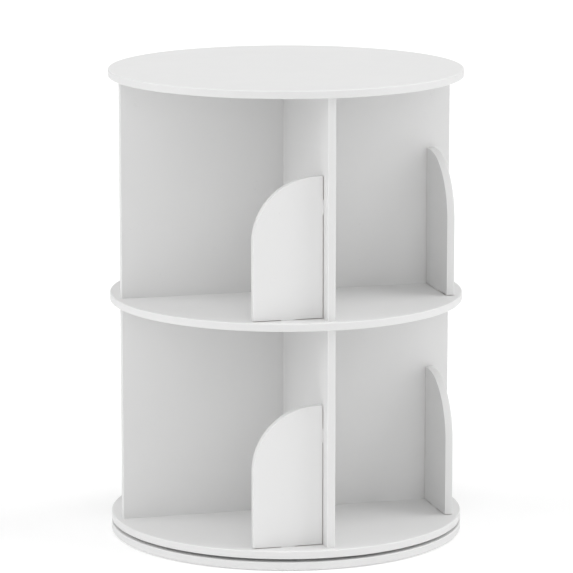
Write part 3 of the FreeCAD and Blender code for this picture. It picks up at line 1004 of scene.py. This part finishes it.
class BOOKCASE_OT_divider_edging(bpy.types.Operator):
    """Draw the band on the outer end of each divider"""

    bl_idname = "bookcase.divider_edging"
    bl_label = "Edging of the Dividers"

    def execute(self, context):
        settings = context.scene.bookcase_edging
        low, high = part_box("lower_front_divider_band")
        _, middle, half = board_of("lower_through_divider")
        back = Vector((middle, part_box("lower_through_divider")[0].y + settings.tuck, low.z))
        strip = rectangle("strip", low, Vector((high.x, back.y, low.z)))
        enter(strip)
        trim_section(Y, low.y, settings.panel_rounding, back, half, settings)
        pick_all()
        bpy.ops.mesh.extrude_region_move(TRANSFORM_OT_translate={"value": (0, 0, high.z - low.z)})
        close_up()
        leave()
        smooth(strip)
        materials = [
            edging("edging_through_dividers", board_of("lower_through_divider")),
            edging("edging_half_dividers", board_of("lower_right_half_divider")),
        ]
        for tier in TIERS:
            for turns, arm in enumerate(ARMS):
                divider = tier + "_" + arm + "_divider"
                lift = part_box(divider + "_band")[0].z - low.z
                piece = copy_of(strip, divider + "_edging", turns, (0, 0, lift))
                dress(piece, materials[turns % 2])
                place_in_frame(piece, "carousel", divider + "_band")
        remove(strip)
        return {"FINISHED"}


def arch_radius(node):
    """Radius of a stop's arch, from where its band's flat top begins."""
    low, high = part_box(node)
    tops = [vertex.co.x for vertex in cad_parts[node].data.vertices if near(vertex.co.z, high.z)]
    return min(tops) - low.x


class BOOKCASE_OT_stop_edging(bpy.types.Operator):
    """Draw the band over the free edges of each arched stop: up, round the arch and along the top"""

    bl_idname = "bookcase.stop_edging"
    bl_label = "Edging of the Stops"

    def execute(self, context):
        settings = context.scene.bookcase_edging
        first = "lower_front_left_stop"
        low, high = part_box(first + "_band")
        _, middle, half = board_of(first)
        back = Vector((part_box(first)[0].x + settings.tuck, middle, low.z))
        radius = arch_radius(first + "_band")
        centre = Vector((low.x + radius, low.y, high.z - radius))
        strip = rectangle("strip", low, Vector((back.x, high.y, low.z)))
        enter(strip)
        trim_section(X, low.x, settings.panel_rounding, back, half, settings)
        pick_all()
        bpy.ops.mesh.extrude_region_move(TRANSFORM_OT_translate={"value": (0, 0, centre.z - low.z)})
        bpy.ops.mesh.spin(steps=settings.arch_steps, angle=QUARTER, center=centre, axis=(0, -1, 0))
        bpy.ops.mesh.extrude_region_move(TRANSFORM_OT_translate={"value": (high.x - centre.x, 0, 0)})
        close_up()
        leave()
        smooth(strip)
        for turns, compartment in enumerate(COMPARTMENTS):
            material = edging("edging_" + compartment + "_stops", board_of("lower_" + compartment + "_stop"))
            for tier in TIERS:
                stop = tier + "_" + compartment + "_stop"
                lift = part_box(stop + "_band")[0].z - low.z
                piece = copy_of(strip, stop + "_edging", turns, (0, 0, lift))
                dress(piece, material)
                place_in_frame(piece, "carousel", stop + "_band")
        remove(strip)
        return {"FINISHED"}


def first_cover(radius, centre, settings):
    """The cover over one cam lock of the front arm, with a rounded rim and a dished middle."""
    clear_selection()
    thickness = settings.cover_thickness
    bpy.ops.mesh.primitive_cylinder_add(
        vertices=ROUND_STEPS,
        radius=radius,
        depth=thickness,
        location=centre + Vector((thickness / 2, 0, 0)),
        rotation=(0, QUARTER, 0),
    )
    cover = bpy.context.object
    settle(cover)
    enter(cover)
    outside = centre.x + thickness
    pick("faces", lambda point: near(point.x, outside))
    bpy.ops.mesh.inset(thickness=settings.cover_rim)
    bpy.ops.mesh.inset(thickness=settings.cover_rim / 2)
    bpy.ops.transform.translate(value=(-settings.cover_dish, 0, 0))
    bpy.ops.mesh.inset(thickness=radius / 2)
    rim = radius - settings.cover_rim / 4
    pick("edges", lambda point: near(point.x, outside) and (point - centre).length > rim)
    rounding = settings.cover_rounding
    bpy.ops.mesh.bevel(offset=rounding, segments=COVER_ROUNDING_STEPS, affect="EDGES")
    close_up()
    leave()
    return cover


class BOOKCASE_OT_cam_covers(bpy.types.Operator):
    """Press a cover over each cam lock"""

    bl_idname = "bookcase.cam_covers"
    bl_label = "Cam Covers"

    def execute(self, context):
        settings = context.scene.bookcase_fittings
        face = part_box("lower_through_divider")[1].x
        radius = (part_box("lower_cam_caps")[1].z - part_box("lower_cam_caps")[0].z) / 2
        material = cover_plastic("cover_plastic")
        for tier in TIERS:
            node = tier + "_cam_caps"
            low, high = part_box(node)
            out = high.y - radius
            rows = [low.z + radius]
            if high.z - radius > rows[0] + radius:
                rows.append(high.z - radius)
            covers = []
            for row in rows:
                front = first_cover(radius, Vector((face, -out, row)), settings)
                back = copy_of(front, "cover", shift=(0, 2 * out, 0))
                sides = [copy_of(front, "cover", 1), copy_of(back, "cover", 1)]
                covers += [front, back] + sides
            piece = joined(tier + "_cam_covers", covers)
            smooth(piece)
            dress(piece, material)
            place_in_frame(piece, "carousel", node)
        return {"FINISHED"}


class BOOKCASE_OT_feet(bpy.types.Operator):
    """Stick the foam pads under the base"""

    bl_idname = "bookcase.feet"
    bl_label = "Foot Pads"

    def execute(self, context):
        settings = context.scene.bookcase_fittings
        low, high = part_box("foot_pads")
        foam = high.z - low.z - settings.tape
        out = high.y - settings.pad_radius
        clear_selection()
        bpy.ops.mesh.primitive_cylinder_add(
            vertices=ROUND_STEPS,
            radius=settings.pad_radius,
            depth=foam,
            location=(0, -out, low.z + foam / 2),
        )
        pad = bpy.context.object
        settle(pad)
        enter(pad)
        pick("faces", lambda point: near(point.z, low.z + foam))
        bpy.ops.mesh.inset(thickness=settings.tape)
        bpy.ops.mesh.extrude_region_move(TRANSFORM_OT_translate={"value": (0, 0, settings.tape)})
        rim = settings.pad_radius - settings.tape / 2

        def on_rim(point):
            level = near(point.z, low.z) or near(point.z, low.z + foam)
            return level and math.hypot(point.x, point.y + out) > rim

        pick("edges", on_rim)
        rounding = settings.pad_rounding
        bpy.ops.mesh.bevel(offset=rounding, segments=PAD_ROUNDING_STEPS, affect="EDGES")
        close_up()
        leave()
        pads = [pad]
        for number in range(1, settings.pad_count):
            pads.append(copy_of(pad, "pad", 4 * number / settings.pad_count))
        piece = joined("foam_feet", pads)
        smooth(piece)
        dress(piece, pad_foam("pad_foam"))
        place_in_frame(piece, "base", "foot_pads")
        return {"FINISHED"}


class BOOKCASE_OT_bearing(bpy.types.Operator):
    """Finish the rings, balls and retainer of the turntable"""

    bl_idname = "bookcase.bearing"
    bl_label = "Turntable"

    def execute(self, context):
        rings = turned_aluminium("turned_aluminium")
        for node in RINGS:
            paint_node(node, rings)
        paint_node("bearing_balls", ball_steel("ball_steel"))
        paint_node("ball_retainer", nylon("natural_nylon"))
        return {"FINISHED"}


class BOOKCASE_OT_fixings(bpy.types.Operator):
    """Finish the screws, bolts, locks and dowels inside the boards"""

    bl_idname = "bookcase.fixings"
    bl_label = "Fixings"

    def execute(self, context):
        plate = plated_steel("plated_steel")
        zinc = cast_zinc("cast_zinc")
        upright = beech("beech_upright", Z)
        across = beech("beech_across", X)
        for nodes, material in (
            (PLATED, plate),
            (CAM_LOCKS, zinc),
            (UPRIGHT_DOWELS, upright),
            (CROSS_DOWELS, across),
        ):
            for node in nodes:
                paint_node(node, material)
        return {"FINISHED"}


def hang_light(name, place, strength):
    """Hangs a wide soft light that points at the middle of the bookcase."""
    low, high = cad_box
    way = (low + high) / 2 - Vector(place)
    turn = way.to_track_quat("-Z", "Y").to_euler()
    bpy.ops.object.light_add(type="SUN", location=place, rotation=turn)
    light = bpy.context.object
    light.name = name
    light.data.angle = bpy.context.scene.bookcase_stage.spread
    light.data.energy = strength


class BOOKCASE_OT_stage(bpy.types.Operator):
    """Lay the floor, hang the lights and set the camera"""

    bl_idname = "bookcase.stage"
    bl_label = "Stage"

    def execute(self, context):
        settings = context.scene.bookcase_stage
        clear_selection()
        bpy.ops.mesh.primitive_plane_add(size=settings.floor_size)
        floor = context.object
        floor.name = "studio_floor"
        dress(floor, studio_floor("studio_floor"))

        world = bpy.data.worlds.new("studio")
        world.use_nodes = True
        sky = world.node_tree.nodes["Background"]
        sky.inputs["Color"].default_value = WHITE
        sky.inputs["Strength"].default_value = settings.surround
        context.scene.world = world

        for name, strength, place in LIGHTS:
            hang_light(name, place, getattr(settings, strength))

        bpy.ops.object.camera_add(location=settings.camera_place, rotation=settings.camera_turn)
        camera = context.object
        camera.name = "camera"
        camera.data.sensor_width = SENSOR_WIDTH
        camera.data.lens = settings.camera_lens
        camera.data.clip_end = settings.floor_size
        context.scene.camera = camera
        context.scene.view_settings.view_transform = "Standard"
        return {"FINISHED"}


class BOOKCASE_PT_sidebar(bpy.types.Panel):
    """The bookcase's pieces and their sizes and colours"""

    bl_idname = "BOOKCASE_PT_sidebar"
    bl_label = "Revolving Bookcase"
    bl_space_type = "VIEW_3D"
    bl_region_type = "UI"
    bl_category = "Bookcase"

    def draw(self, context):
        layout = self.layout
        for operator in OPERATORS:
            layout.operator(operator.bl_idname)
        for name in SETTINGS:
            settings = getattr(context.scene, name)
            box = layout.box()
            for size in settings.bl_rna.properties:
                if size.identifier not in ("name", "rna_type"):
                    box.prop(settings, size.identifier)


SETTINGS = {
    "bookcase_laminate": LaminateSettings,
    "bookcase_edging": EdgingSettings,
    "bookcase_fittings": FittingSettings,
    "bookcase_stage": StageSettings,
}

OPERATORS = (
    BOOKCASE_OT_stage,
    BOOKCASE_OT_discs,
    BOOKCASE_OT_dividers,
    BOOKCASE_OT_stops,
    BOOKCASE_OT_disc_edging,
    BOOKCASE_OT_divider_edging,
    BOOKCASE_OT_stop_edging,
    BOOKCASE_OT_cam_covers,
    BOOKCASE_OT_feet,
    BOOKCASE_OT_bearing,
    BOOKCASE_OT_fixings,
)


def register():
    for kind in (*SETTINGS.values(), *OPERATORS, BOOKCASE_PT_sidebar):
        bpy.utils.register_class(kind)
    for name, kind in SETTINGS.items():
        setattr(bpy.types.Scene, name, PointerProperty(type=kind))


def unregister():
    for name in SETTINGS:
        delattr(bpy.types.Scene, name)
    for kind in (BOOKCASE_PT_sidebar, *OPERATORS, *SETTINGS.values()):
        bpy.utils.unregister_class(kind)


def main():
    register()
    bpy.ops.bookcase.stage()
    bpy.ops.bookcase.discs()
    bpy.ops.bookcase.dividers()
    bpy.ops.bookcase.stops()
    bpy.ops.bookcase.disc_edging()
    bpy.ops.bookcase.divider_edging()
    bpy.ops.bookcase.stop_edging()
    bpy.ops.bookcase.cam_covers()
    bpy.ops.bookcase.feet()
    bpy.ops.bookcase.bearing()
    bpy.ops.bookcase.fixings()


if __name__ == "__main__":
    main()
